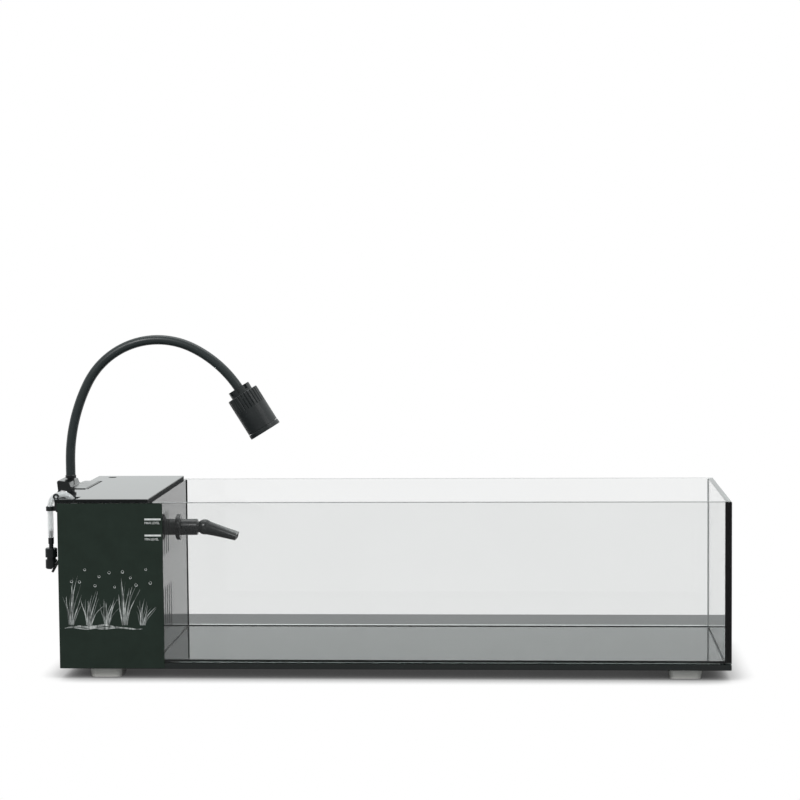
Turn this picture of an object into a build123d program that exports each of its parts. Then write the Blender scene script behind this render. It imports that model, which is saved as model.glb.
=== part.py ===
from build123d import *
import os
from math import cos, radians, sin

# A shallow desktop aquarium of flat glass with a black filter box at its left end, a return nozzle,
# a drain hose with a tap, and a gooseneck lamp clamped to the left rim.
# X runs along the tank to the right, Y from the front to the back, Z up from the table, in millimetres.
# The origin is on the table, under the middle of the whole object.

os.makedirs("parts", exist_ok=True)

# Tank
tank_length = 600.0
tank_depth = 200.0
tank_height = 150.0
glass = 5.0
seam = 0.5
bead = 5.0
corner_bead = 1.6
film = 0.2
pad_height = 9.0
pad_length = 30.0
pad_inset = 40.0
outboard = 24.0

left = outboard - (tank_length + outboard) / 2
right = left + tank_length
front = -tank_depth / 2
back = tank_depth / 2
base = pad_height
floor = base + glass
rim = base + tank_height

# Filter box
box_width = 85.5
film_length = 95.0
partition_left = left + box_width - glass
partition_right = left + box_width
lid_thickness = 3.0
lid_overhang = 2.5
slot_width = 3.6
slot_pitch = 10.5
slot_first_y = front + 13.5

# Return outlet
outlet_y = front + 100.0
outlet_z = base + 115.4
pipe_radius = 7.5

# Drain hose and tap
hose_radius = 2.6
hose_bore = 1.6
hose_y = front + 12.0
hose_x = left - 8.6
arch_radius = 10.8
arch_z = base + 145.5
hose_end_z = base + 117.1

# Lamp
post_x = left - 12.5
lamp_y = front + 117.0
neck_radius = 4.5
neck_straight_top = base + 175.4
neck_gap = 2.2
head_lean = 148.4


def slab(x_low, x_high, y_low, y_high, z_low, z_high, edge=0.0):
    """A flat plate between two corners, its edges ground off by the given chamfer."""
    with BuildPart() as plate:
        with BuildSketch(Plane.XY.offset(z_low)):
            with Locations(((x_low + x_high) / 2, (y_low + y_high) / 2)):
                Rectangle(x_high - x_low, y_high - y_low)
        extrude(amount=z_high - z_low)
        if edge:
            chamfer(plate.edges(), edge)
    return plate


def upright(y):
    """The upright plane at depth y, facing the front; a negative extrusion runs towards the back."""
    return Plane.XZ.offset(-y)


# Glass panes: the front and back ones cover the ends of the short ones, and all stand on the bottom one.
ground = 0.4
bottom_pane = slab(left, right, front, back, base, floor, ground)
bottom_pane.part.label = "bottom_pane"
export_step(bottom_pane.part, "parts/bottom_pane.step")

front_pane = slab(left, right, front, front + glass, floor + seam, rim, ground)
front_pane.part.label = "front_pane"
export_step(front_pane.part, "parts/front_pane.step")

back_pane = slab(left, right, back - glass, back, floor + seam, rim, ground)
back_pane.part.label = "back_pane"
export_step(back_pane.part, "parts/back_pane.step")

short_front = front + glass + seam
short_back = back - glass - seam
left_pane = slab(left, left + glass, short_front, short_back, floor + seam, rim, ground)
left_pane.part.label = "left_pane"
export_step(left_pane.part, "parts/left_pane.step")

right_pane = slab(right - glass, right, short_front, short_back, floor + seam, rim, ground)
right_pane.part.label = "right_pane"
export_step(right_pane.part, "parts/right_pane.step")

# Black partition with a skimming comb near the water line, a second comb near the bottom and the outlet's bore.
skimmer_slots = 8
bottom_slots = 9
skimmer_height = 40.0
skimmer_z = base + 113.5
bottom_height = 42.0
bottom_z = base + 43.0
bore_clearance = 0.3
with BuildPart() as partition:
    with BuildSketch(Plane.XY.offset(floor + seam)):
        with Locations((partition_right - glass / 2, 0)):
            Rectangle(glass, short_back - short_front)
    extrude(amount=rim - floor - seam)
    with BuildSketch(Plane.YZ.offset(partition_left)):
        for count, height, middle in (
            (skimmer_slots, skimmer_height, skimmer_z),
            (bottom_slots, bottom_height, bottom_z),
        ):
            for slot in range(count):
                with Locations((slot_first_y + slot * slot_pitch, middle)):
                    SlotOverall(height, slot_width, rotation=90)
        with Locations((outlet_y, outlet_z)):
            Circle(pipe_radius + bore_clearance)
    extrude(amount=glass, mode=Mode.SUBTRACT)
partition.part.label = "partition"
export_step(partition.part, "parts/partition.step")

# Silicone: a thin bed under every standing pane, with a bead round the inside of both chambers.
bead_toe = 42.0
chambers = (
    (left + glass, partition_left),
    (partition_right, right - glass),
)
with BuildPart() as bottom_seal:
    with BuildSketch(Plane.XY.offset(floor)):
        with Locations(((left + right) / 2, 0)):
            Rectangle(tank_length, tank_depth)
    extrude(amount=seam)
    for x_low, x_high in chambers:
        middle = (x_low + x_high) / 2
        with BuildSketch(Plane.XY.offset(floor)):
            with Locations((middle, 0)):
                Rectangle(x_high - x_low, tank_depth - 2 * glass)
        extrude(amount=bead)
        with BuildSketch(Plane.XY.offset(floor)):
            with Locations((middle, 0)):
                Rectangle(x_high - x_low - 2 * bead, tank_depth - 2 * glass - 2 * bead)
        extrude(amount=bead, taper=-bead_toe, mode=Mode.SUBTRACT)
bottom_seal.part.label = "bottom_seal"
export_step(bottom_seal.part, "parts/bottom_seal.step")


# Upright joints of the short panes and the partition, each strip with small beads in the inner corners.
end_joints = (
    (left, left + glass, ((left + glass, 1),)),
    (right - glass, right, ((right - glass, -1),)),
)
partition_joint = ((partition_left, partition_right, ((partition_left, -1), (partition_right, 1))),)
for name, joints in (("corner_seals", end_joints), ("partition_seals", partition_joint)):
    with BuildPart() as upright_seal:
        for side in (-1, 1):
            wall = side * (tank_depth / 2 - glass)
            for x_low, x_high, beads in joints:
                with BuildSketch(Plane.XY.offset(floor + seam)):
                    with Locations(((x_low + x_high) / 2, wall - side * seam / 2)):
                        Rectangle(x_high - x_low, seam)
                extrude(amount=rim - floor - seam - 1)
                for x, way in beads:
                    with BuildSketch(Plane.XY.offset(floor + bead)):
                        with BuildLine():
                            Polyline(
                                (x, wall),
                                (x + way * corner_bead, wall),
                                (x, wall - side * corner_bead),
                                close=True,
                            )
                        make_face()
                    extrude(amount=rim - floor - bead - 1)
    upright_seal.part.label = name
    export_step(upright_seal.part, f"parts/{name}.step")

# Black film over the front, left and back of the filter box.
front_film = slab(left, left + film_length, front - film, front, base + 0.5, rim - 0.6)
front_film.part.label = "front_film"
export_step(front_film.part, "parts/front_film.step")

back_film = slab(left, left + film_length, back, back + film, base + 0.5, rim - 0.6)
back_film.part.label = "back_film"
export_step(back_film.part, "parts/back_film.step")

side_film = slab(left - film, left, front + 2, back - 2, base + 0.5, rim - 0.6)
side_film.part.label = "side_film"
export_step(side_film.part, "parts/side_film.step")

# Rubber pads under the four corners, each a low tapered block with a dished sole.
pad_taper = 8.0
for name, x, y in (
    ("foot_pad_front_left", left + pad_inset, front + 22),
    ("foot_pad_front_right", right - pad_inset, front + 22),
    ("foot_pad_back_left", left + pad_inset, back - 22),
    ("foot_pad_back_right", right - pad_inset, back - 22),
):
    with BuildPart() as foot_pad:
        with BuildSketch(Plane.XY.offset(base)):
            with Locations((x, y)):
                RectangleRounded(pad_length, pad_length, 6)
        extrude(amount=-pad_height, taper=pad_taper)
        with BuildSketch(Plane.XY):
            with Locations((x, y)):
                Circle(8)
        extrude(amount=1.2, mode=Mode.SUBTRACT)
    foot_pad.part.label = name
    export_step(foot_pad.part, f"parts/{name}.step")

# Lid of the filter box, notched at the left edge for the lamp clamp and for the drain hose,
# with a small hole for cables at the back.
clamp_width = 66.0
clamp_reach = 9.0
notch_clearance = 1.5
hose_notch_back = hose_y + 8.0
with BuildPart() as lid:
    with BuildSketch(Plane.XY.offset(rim)):
        lid_right = left + 82.0
        lid_left = left - lid_overhang
        with Locations(((lid_left + lid_right) / 2, 0)):
            Rectangle(lid_right - lid_left, tank_depth - 0.6)
        with Locations((left + (clamp_reach + notch_clearance - lid_overhang) / 2, lamp_y)):
            Rectangle(
                clamp_reach + notch_clearance + lid_overhang,
                clamp_width + 2 * notch_clearance,
                mode=Mode.SUBTRACT,
            )
        with Locations((left + 7.0, (hose_y - 6 + hose_notch_back) / 2)):
            Rectangle(20.0, hose_notch_back - hose_y + 6, mode=Mode.SUBTRACT)
        with Locations((left + 14.0, back - 15.0)):
            Circle(4, mode=Mode.SUBTRACT)
    extrude(amount=lid_thickness)
    chamfer(lid.faces().sort_by(Axis.Z)[-1].outer_wire().edges(), 0.5)
lid.part.label = "lid"
export_step(lid.part, "parts/lid.step")

# Glass baffle between the media side at the front and the pump side at the back, open above for the hose.
baffle_y = front + 114.0
baffle = slab(left + glass + 0.3, partition_left - 0.3, baffle_y, baffle_y + 3, floor + bead + 0.2, base + 105, 0.3)
baffle.part.label = "baffle"
export_step(baffle.part, "parts/baffle.step")

# Lift-out media basket with slotted walls and a drilled bottom.
basket_x = (left + 19 + partition_left - 2) / 2
basket_length = partition_left - 2 - (left + 19)
basket_y = (front + 20 + baffle_y - 2) / 2
basket_depth = baffle_y - 2 - (front + 20)
basket_low = floor + bead + 0.5
basket_high = base + 92.0
basket_wall = 1.8
with BuildPart() as media_basket:
    with BuildSketch(Plane.XY.offset(basket_low)):
        with Locations((basket_x, basket_y)):
            RectangleRounded(basket_length, basket_depth, 4)
    extrude(amount=basket_high - basket_low)
    with BuildSketch(Plane.XY.offset(basket_low + basket_wall)):
        with Locations((basket_x, basket_y)):
            RectangleRounded(basket_length - 2 * basket_wall, basket_depth - 2 * basket_wall, 2.4)
    extrude(amount=basket_high - basket_low, mode=Mode.SUBTRACT)
    with BuildSketch(Plane.YZ.offset(basket_x - basket_length)):
        with Locations((basket_y, (basket_low + basket_high) / 2)):
            with GridLocations(12, 36, 6, 2):
                SlotOverall(28, 3, rotation=90)
    extrude(amount=2 * basket_length, mode=Mode.SUBTRACT)
    with BuildSketch(Plane.XY.offset(basket_low)):
        with Locations((basket_x, basket_y)):
            with GridLocations(11, 12, 4, 6):
                Circle(2.4)
    extrude(amount=basket_wall, mode=Mode.SUBTRACT)
media_basket.part.label = "media_basket"
export_step(media_basket.part, "parts/media_basket.step")

# Ceramic filter rings, standing in rows on the basket's bottom.
ring_height = 15.0
ring_rows = 4
with BuildPart() as ceramic_rings:
    with BuildSketch(Plane.XY.offset(basket_low + basket_wall)):
        with Locations((basket_x, basket_y)):
            with GridLocations(16, 19, 3, ring_rows):
                Circle(7)
                Circle(3, mode=Mode.SUBTRACT)
    extrude(amount=ring_height)
ceramic_rings.part.label = "ceramic_rings"
export_step(ceramic_rings.part, "parts/ceramic_rings.step")

# Filter sponge over the rings, with a crowned top.
sponge_low = basket_low + basket_wall + ring_height + 1
with BuildPart() as filter_sponge:
    with BuildSketch(Plane.XY.offset(sponge_low)):
        with Locations((basket_x, basket_y)):
            RectangleRounded(basket_length - 2 * basket_wall - 1, basket_depth - 2 * basket_wall - 1, 2)
    extrude(amount=basket_high - sponge_low - 10)
    fillet(filter_sponge.faces().sort_by(Axis.Z)[-1].edges(), 1.8)
filter_sponge.part.label = "filter_sponge"
export_step(filter_sponge.part, "parts/filter_sponge.step")

# Pump: a moulded housing with a rotor chamber behind a grille cover, standing on four suction cups.
pump_x = left + 43.0
pump_front = baffle_y + 13.0
pump_width = 42.0
pump_length = 38.0
pump_height = 36.0
cup_height = 5.0
pump_low = floor + cup_height
rotor_z = pump_low + pump_height / 2
rotor_radius = 11.0
rotor_depth = 10.0
spigot_y = pump_front + 20.0
spigot_top = pump_low + pump_height + 14.0
with BuildPart() as pump_housing:
    with BuildSketch(upright(pump_front)):
        with Locations((pump_x, rotor_z)):
            RectangleRounded(pump_width, pump_height, 6)
    extrude(amount=-pump_length)
    fillet(pump_housing.faces().sort_by(Axis.Y)[-1].edges(), 3)
    with BuildSketch(Plane.XY.offset(pump_low + pump_height - 1)):
        with Locations((pump_x, spigot_y)):
            Circle(5.2)
    extrude(amount=spigot_top - pump_low - pump_height + 1)
    with BuildSketch(upright(pump_front)):
        with Locations((pump_x, rotor_z)):
            Circle(rotor_radius + 1)
    extrude(amount=-rotor_depth - 2, mode=Mode.SUBTRACT)
    with BuildSketch(upright(pump_front)):
        with Locations((pump_x, rotor_z)):
            Circle(1.55)
    extrude(amount=-rotor_depth - 10, mode=Mode.SUBTRACT)
    with BuildSketch(upright(pump_front + 8)):
        with Locations((pump_x - pump_width / 2, rotor_z), (pump_x + pump_width / 2, rotor_z)):
            with GridLocations(0, 5, 1, 5):
                Rectangle(2, 1.6)
    extrude(amount=-pump_length + 14, mode=Mode.SUBTRACT)
pump_housing.part.label = "pump_housing"
export_step(pump_housing.part, "parts/pump_housing.step")

cover_depth = 4.0
dial_x = pump_x + 14.0
dial_z = pump_low + 8.0
with BuildPart() as pump_cover:
    with BuildSketch(upright(pump_front)):
        with Locations((pump_x, rotor_z)):
            RectangleRounded(pump_width, pump_height, 6)
    extrude(amount=cover_depth)
    fillet(pump_cover.faces().sort_by(Axis.Y)[0].edges(), 1.5)
    with BuildSketch(upright(pump_front)):
        with Locations((pump_x - 3, rotor_z)):
            with GridLocations(4.4, 0, 6, 1):
                SlotOverall(22, 2.2, rotation=90)
        with Locations((dial_x, dial_z)):
            Circle(2.05)
    extrude(amount=cover_depth, mode=Mode.SUBTRACT)
pump_cover.part.label = "pump_cover"
export_step(pump_cover.part, "parts/pump_cover.step")

# Flow dial on the cover, its stem running in the cover's bore.
with BuildPart() as flow_dial:
    with BuildSketch(upright(pump_front - 0.6)):
        with Locations((dial_x, dial_z)):
            Circle(2.0)
    extrude(amount=cover_depth - 0.2)
    with BuildSketch(upright(pump_front - cover_depth - 0.4)):
        with Locations((dial_x, dial_z)):
            Circle(4.2)
    extrude(amount=1.6)
    with BuildSketch(upright(pump_front - cover_depth - 2.0)):
        with Locations((dial_x, dial_z)):
            Rectangle(7.6, 1.8)
    extrude(amount=1.8)
flow_dial.part.label = "flow_dial"
export_step(flow_dial.part, "parts/flow_dial.step")

# Rotor with six blades on a fixed shaft.
with BuildPart() as rotor_shaft:
    with BuildSketch(upright(pump_front + 0.3)):
        with Locations((pump_x, rotor_z)):
            Circle(1.5)
    extrude(amount=-rotor_depth - 9)
rotor_shaft.part.label = "rotor_shaft"
export_step(rotor_shaft.part, "parts/rotor_shaft.step")

blades = 6
with BuildPart() as rotor:
    with BuildSketch(upright(pump_front + 1.4)):
        with Locations((pump_x, rotor_z)):
            Circle(4)
            with PolarLocations(6.6, blades):
                Rectangle(7.4, 1.5)
            Circle(1.56, mode=Mode.SUBTRACT)
    extrude(amount=-rotor_depth + 1)
rotor.part.label = "rotor"
export_step(rotor.part, "parts/rotor.step")

# Suction cups: a flared skirt under a short neck pressed against the housing.
with BuildPart() as suction_cups:
    for dx in (-13, 13):
        for dy in (8, pump_length - 9):
            cup = Plane((pump_x + dx, pump_front + dy, floor))
            with BuildSketch(cup):
                Circle(6)
            with BuildSketch(cup.offset(3)):
                Circle(3)
            loft()
            with BuildSketch(cup.offset(3)):
                Circle(3)
            extrude(amount=cup_height - 3)
suction_cups.part.label = "suction_cups"
export_step(suction_cups.part, "parts/suction_cups.step")

# Return hose: up from the pump, over the baffle and round to the outlet in the partition.
return_radius = 6.8
barb_x = partition_left - 16.0
return_bend = 14.0
with BuildPart() as return_hose:
    with BuildLine():
        FilletPolyline(
            (pump_x, spigot_y, spigot_top - 9),
            (pump_x, spigot_y, outlet_z),
            (pump_x, outlet_y, outlet_z),
            (barb_x + 6, outlet_y, outlet_z),
            radius=return_bend,
        )
    with BuildSketch(Plane.XY.offset(spigot_top - 9)):
        with Locations((pump_x, spigot_y)):
            Circle(return_radius)
            Circle(return_radius - 1.55, mode=Mode.SUBTRACT)
    sweep()
return_hose.part.label = "return_hose"
export_step(return_hose.part, "parts/return_hose.step")

# Bulkhead: a barbed pipe through the partition, a rubber washer and a wing nut on its inside.
flange_x = left + 91.5
flange_thickness = 4.0
flange_radius = 12.1
inlet_radius = 5.2
nut_thickness = 7.0
washer = 2.0
with BuildPart() as outlet_pipe:
    with BuildSketch(Plane.YZ.offset(partition_left - 10)):
        with Locations((outlet_y, outlet_z)):
            Circle(pipe_radius)
    extrude(amount=flange_x - partition_left + 10 + 5)
    with BuildSketch(Plane.YZ.offset(barb_x)):
        with Locations((outlet_y, outlet_z)):
            Circle(inlet_radius)
    extrude(amount=8)
    with BuildSketch(Plane.YZ.offset(barb_x)):
        with Locations((outlet_y, outlet_z)):
            Circle(inlet_radius - 1.4)
    extrude(amount=flange_x - barb_x + 6, mode=Mode.SUBTRACT)
outlet_pipe.part.label = "outlet_pipe"
export_step(outlet_pipe.part, "parts/outlet_pipe.step")

with BuildPart() as bulkhead_washer:
    with BuildSketch(Plane.YZ.offset(partition_left - washer)):
        with Locations((outlet_y, outlet_z)):
            Circle(12)
            Circle(pipe_radius + 0.05, mode=Mode.SUBTRACT)
    extrude(amount=washer)
bulkhead_washer.part.label = "bulkhead_washer"
export_step(bulkhead_washer.part, "parts/bulkhead_washer.step")

with BuildPart() as bulkhead_nut:
    with BuildSketch(Plane.YZ.offset(partition_left - washer - nut_thickness)):
        with Locations((outlet_y, outlet_z)):
            RegularPolygon(12, 6)
            Circle(pipe_radius + 0.05, mode=Mode.SUBTRACT)
    extrude(amount=nut_thickness)
bulkhead_nut.part.label = "bulkhead_nut"
export_step(bulkhead_nut.part, "parts/bulkhead_nut.step")

# Socket collar: turns on the pipe's end, with a thin flange and a spherical seat for the nozzle's ball.
ball_x = left + 118.0
ball_radius = 7.2
seat_radius = 7.5
socket_end = left + 111.3
neck_end = left + 113.4
fit = 0.08
with BuildPart() as socket_collar:
    with BuildSketch(Plane.YZ.offset(flange_x)):
        with Locations((outlet_y, outlet_z)):
            Circle(flange_radius)
    extrude(amount=flange_thickness)
    chamfer(socket_collar.edges(), 0.6)
    with BuildSketch(Plane.YZ.offset(flange_x + flange_thickness)):
        with Locations((outlet_y, outlet_z)):
            Circle(pipe_radius + 0.1)
    extrude(amount=socket_end - flange_x - flange_thickness)
    chamfer(socket_collar.faces().sort_by(Axis.X)[-1].edges(), 0.5)
    with BuildSketch(Plane.YZ.offset(socket_end)):
        with Locations((outlet_y, outlet_z)):
            Circle(5.2)
    extrude(amount=neck_end - socket_end)
    with BuildSketch(Plane.YZ.offset(flange_x)):
        with Locations((outlet_y, outlet_z)):
            Circle(pipe_radius + fit)
    extrude(amount=flange_thickness + 2.5, mode=Mode.SUBTRACT)
    with BuildSketch(Plane.YZ.offset(flange_x)):
        with Locations((outlet_y, outlet_z)):
            Circle(3.2)
    extrude(amount=neck_end - flange_x, mode=Mode.SUBTRACT)
    with Locations((ball_x, outlet_y, outlet_z)):
        Sphere(seat_radius, mode=Mode.SUBTRACT)
socket_collar.part.label = "socket_collar"
export_step(socket_collar.part, "parts/socket_collar.step")

# Duckbill nozzle: a bored ball that flattens into a wide, drooping fan.
droop = 16.0
bill_length = 31.5
tip_height = 6.6
tip_width = 20.0
ball_place = Vector(ball_x, outlet_y, outlet_z)
bill_way = Vector(cos(radians(droop)), 0, -sin(radians(droop)))
bill = Plane(origin=ball_place, x_dir=(0, 1, 0), z_dir=bill_way)
bill_root = 1.0
with BuildPart() as nozzle:
    with Locations(ball_place):
        Sphere(ball_radius)
    with BuildSketch(bill.offset(bill_root)):
        RectangleRounded(13.2, 13.2, 6.4)
    with BuildSketch(bill.offset(bill_length / 2)):
        RectangleRounded(15.4, 9.6, 4.4)
    with BuildSketch(bill.offset(bill_length)):
        RectangleRounded(tip_width, tip_height, 3)
    loft()
    with BuildSketch(bill.offset(bill_length / 3)):
        RectangleRounded(9, 5.4, 2.2)
    with BuildSketch(bill.offset(bill_length)):
        RectangleRounded(tip_width - 3, tip_height - 2.8, 1.7)
    loft(mode=Mode.SUBTRACT)
    with BuildSketch(Plane.YZ.offset(ball_x - 10)):
        with Locations((outlet_y, outlet_z)):
            Circle(2.4)
    extrude(amount=21, mode=Mode.SUBTRACT)
nozzle.part.label = "nozzle"
export_step(nozzle.part, "parts/nozzle.step")

# Rim clip for the drain hose: a small saddle on the left pane with a snap ring outside and a finger loop on top.
clip_width = 8.0
snap_low = base + 141.5
snap_high = arch_z
with BuildPart() as hose_clip:
    with BuildSketch(upright(hose_y - clip_width / 2)):
        with BuildLine():
            Polyline(
                (left - 0.3, rim + 0.3),
                (left - 0.3, base + 141.5),
                (left - 2.6, base + 140.5),
                (left - 4.2, base + 144.0),
                (left - 4.0, base + 149.6),
                (left - 2.0, rim + 1.9),
                (left + 7.0, rim + 1.9),
                (left + 7.0, base + 142.0),
                (left + 5.4, base + 142.0),
                (left + 5.4, rim + 0.3),
                close=True,
            )
        make_face()
    extrude(amount=-clip_width)
    with BuildSketch(upright(hose_y - clip_width / 2)):
        with Locations((left - 2.6, rim + 4.4)):
            Circle(2.9)
            Circle(1.3, mode=Mode.SUBTRACT)
    extrude(amount=-1.2)
    with BuildSketch(Plane.XY.offset(snap_low)):
        with Locations((hose_x, hose_y)):
            Circle(hose_radius + 1.6)
        with Locations((hose_x + 4, hose_y)):
            Rectangle(3, 5)
    extrude(amount=snap_high - snap_low)
    with BuildSketch(Plane.XY.offset(snap_low)):
        with Locations((hose_x, hose_y)):
            Circle(hose_radius + 0.05)
        with Locations((hose_x - 4, hose_y)):
            Rectangle(5, 4.2)
    extrude(amount=snap_high - snap_low, mode=Mode.SUBTRACT)
hose_clip.part.label = "hose_clip"
export_step(hose_clip.part, "parts/hose_clip.step")

# Drain hose: from the box's bottom up inside, over the rim in one bend, through the snap ring and down to the tap.
inner_leg_x = hose_x + 2 * arch_radius
with BuildPart() as drain_hose:
    with BuildLine():
        Line((hose_x, hose_y, hose_end_z), (hose_x, hose_y, arch_z))
        ThreePointArc(
            (hose_x, hose_y, arch_z),
            (hose_x + arch_radius, hose_y, arch_z + arch_radius),
            (inner_leg_x, hose_y, arch_z),
        )
        Line((inner_leg_x, hose_y, arch_z), (inner_leg_x, hose_y, floor + 14))
    with BuildSketch(Plane.XY.offset(hose_end_z)):
        with Locations((hose_x, hose_y)):
            Circle(hose_radius)
            Circle(hose_bore, mode=Mode.SUBTRACT)
    sweep()
print("drain hose arc radius", arch_radius)
drain_hose.part.label = "drain_hose"
export_step(drain_hose.part, "parts/drain_hose.step")

# Tap under the hose: a barb and collar, a body with a waist and a chamfered lower bulb, and a cock with its lever.
tap = Plane((hose_x, hose_y, hose_end_z))
barb_length = 6.0
with BuildPart() as tap_collar:
    with BuildSketch(tap):
        Circle(2.55)
    extrude(amount=-5.7)
    chamfer(tap_collar.edges(), 0.3)
    with BuildSketch(tap.offset(-5.7)):
        Circle(2.0)
    extrude(amount=-3.6)
    with BuildSketch(tap):
        Circle(hose_bore - 0.04)
    extrude(amount=barb_length)
    with BuildSketch(tap.offset(barb_length)):
        Circle(1.0)
    extrude(amount=-9.3 - barb_length, mode=Mode.SUBTRACT)
tap_collar.part.label = "tap_collar"
export_step(tap_collar.part, "parts/tap_collar.step")

cock_lean = 30.0
cock_way = Vector(cos(radians(cock_lean)), 0, -sin(radians(cock_lean)))
bulb_place = Vector(hose_x, hose_y, hose_end_z - 24.0)
cock = Plane(origin=bulb_place, x_dir=(0, 1, 0), z_dir=cock_way)
facet_distance = 3.1
with BuildPart() as tap_body:
    with BuildSketch(tap.offset(-9.3)):
        Circle(5.4)
    extrude(amount=-8.3)
    with BuildSketch(tap.offset(-17.6)):
        Circle(4.1)
    extrude(amount=-2.3)
    with BuildSketch(tap.offset(-19.9)):
        Circle(5.3)
    extrude(amount=-8.2)
    chamfer(tap_body.edges().filter_by(GeomType.CIRCLE).group_by(Axis.Z)[0], 0.8)
    chamfer(tap_body.edges().filter_by(GeomType.CIRCLE).group_by(Axis.Z)[-1], 0.8)
    with BuildSketch(cock.offset(facet_distance)):
        Rectangle(20, 20)
    extrude(amount=10, mode=Mode.SUBTRACT)
    with BuildSketch(cock.offset(-2)):
        Circle(2.06)
    extrude(amount=12, mode=Mode.SUBTRACT)
    with BuildSketch(tap.offset(-9.3)):
        Circle(1.0)
    extrude(amount=-24, mode=Mode.SUBTRACT)
tap_body.part.label = "tap_body"
export_step(tap_body.part, "parts/tap_body.step")

with BuildPart() as tap_cock:
    with BuildSketch(cock.offset(-1.9)):
        Circle(2.0)
    extrude(amount=facet_distance + 1.9 + 0.3)
    with BuildSketch(tap.offset(-9.3)):
        Circle(0.9)
    extrude(amount=-24, mode=Mode.SUBTRACT)
tap_cock.part.label = "tap_cock"
export_step(tap_cock.part, "parts/tap_cock.step")

with BuildPart() as tap_lever:
    with BuildSketch(cock.offset(facet_distance + 0.3)):
        SlotOverall(4.6, 4.4)
        with Locations((0, 0)):
            RectangleRounded(3.8, 12.4, 1.6)
    extrude(amount=1.9)
    chamfer(tap_lever.faces().sort_by(Axis(bulb_place, cock_way))[-1].edges(), 0.4)
tap_lever.part.label = "tap_lever"
export_step(tap_lever.part, "parts/tap_lever.step")

# Lamp clamp: a saddle over the left rim with an arched shelf outside that carries the neck's socket.
shelf_width = 40.0
leg_low = base + 122.0
screw_z = base + 133.0
with BuildPart() as lamp_clamp:
    with BuildSketch(upright(lamp_y - clamp_width / 2)):
        with BuildLine():
            Polyline(
                (left - 5.6, base + 146.5),
                (left - 5.6, leg_low + 2),
                (left - 6.2, leg_low),
                (left - 9.2, leg_low + 1.5),
                (left - 9.2, base + 156.0),
                (left - 6.0, base + 157.0),
                (left + clamp_reach - 1, base + 157.0),
                (left + clamp_reach, base + 156.0),
                (left + clamp_reach, base + 130.0),
                (left + clamp_reach - 3, base + 128.5),
                (left + clamp_reach - 3, rim + 0.3),
                (left - 0.4, rim + 0.3),
                (left - 0.4, base + 146.5),
                close=True,
            )
        make_face()
    extrude(amount=-clamp_width)
    with BuildSketch(Plane.XY.offset(base + 120.0)):
        with Locations((left, lamp_y)):
            RectangleRounded(60, clamp_width, 6)
    extrude(amount=45, mode=Mode.INTERSECT)
    with BuildSketch(upright(lamp_y - shelf_width / 2)):
        with BuildLine():
            shelf_arch = ThreePointArc(
                (left - 1.0, base + 153.6), (left - 10.0, base + 157.6), (left - 20.5, base + 159.4)
            )
            Polyline(
                shelf_arch @ 1,
                (left - 21.5, base + 158.2),
                (left - 20.6, base + 150.0),
                (left - 22.6, base + 145.5),
                (left - 20.8, base + 145.5),
                (left - 17.5, base + 150.5),
                (left - 1.0, base + 147.0),
                shelf_arch @ 0,
            )
        make_face()
    extrude(amount=-shelf_width)
    with BuildSketch(Plane.YZ.offset(left - 12)):
        with Locations((lamp_y, screw_z)):
            Circle(2.06)
    extrude(amount=10, mode=Mode.SUBTRACT)
    with BuildSketch(Plane.XY.offset(base + 152.0)):
        with Locations((post_x, lamp_y)):
            Circle(3.55)
    extrude(amount=10, mode=Mode.SUBTRACT)
lamp_clamp.part.label = "lamp_clamp"
export_step(lamp_clamp.part, "parts/lamp_clamp.step")

# Rubber facing inside the saddle's inner leg.
clamp_facing = slab(
    left + glass, left + clamp_reach - 3, lamp_y - 24, lamp_y + 24, base + 132, base + 149
)
clamp_facing.part.label = "clamp_facing"
export_step(clamp_facing.part, "parts/clamp_facing.step")

# Clamp screw through the outer leg, with a swivel foot on the glass and a lobed knob.
with BuildPart() as clamp_screw:
    with BuildSketch(Plane.YZ.offset(left - 3.0)):
        with Locations((lamp_y, screw_z)):
            Circle(2.0)
    extrude(amount=-10.0)
    with BuildSketch(Plane.YZ.offset(left - 0.4)):
        with Locations((lamp_y, screw_z)):
            Circle(4.5)
    extrude(amount=-2.6)
clamp_screw.part.label = "clamp_screw"
export_step(clamp_screw.part, "parts/clamp_screw.step")

knob_lobes = 6
knob_root = left - 15.0
knob_depth = 6.6
with BuildPart() as clamp_knob:
    with BuildSketch(Plane.YZ.offset(knob_root)):
        with Locations((lamp_y, screw_z)):
            Circle(8)
            with PolarLocations(9.4, knob_lobes):
                Circle(2.2, mode=Mode.SUBTRACT)
    extrude(amount=-knob_depth)
    with BuildSketch(Plane.YZ.offset(knob_root - knob_depth)):
        with Locations((lamp_y, screw_z)):
            Circle(6.4)
    extrude(amount=-(outboard - 15.0 - knob_depth), taper=30)
    with BuildSketch(Plane.YZ.offset(knob_root)):
        with Locations((lamp_y, screw_z)):
            Circle(3.4)
    extrude(amount=2.0)
clamp_knob.part.label = "clamp_knob"
export_step(clamp_knob.part, "parts/clamp_knob.step")

# Neck socket: a ferrule that swivels in the shelf and grips the gooseneck.
socket_low = base + 159.9
socket_high = base + 163.0
with BuildPart() as neck_socket:
    with BuildSketch(Plane.XY.offset(socket_low)):
        with Locations((post_x, lamp_y)):
            Circle(5.1)
    extrude(amount=socket_high - socket_low)
    chamfer(neck_socket.faces().sort_by(Axis.Z)[-1].edges(), 0.5)
    with BuildSketch(Plane.XY.offset(socket_low)):
        with Locations((post_x, lamp_y)):
            Circle(3.5)
    extrude(amount=-6.5)
neck_socket.part.label = "neck_socket"
export_step(neck_socket.part, "parts/neck_socket.step")

# Gooseneck: straight up, a wide arc, a tighter arc over the crown and an easing arc down to the lamp.
# It bends at the crown, where the lower half ends in a dome inside the upper half's cup.
first_radius = 163.0
first_turn = 27.0
crown_radius = 75.5
second_turn = 116.5
last_radius = 109.8
dome_radius = 4.4
cup_radius = 4.75


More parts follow.
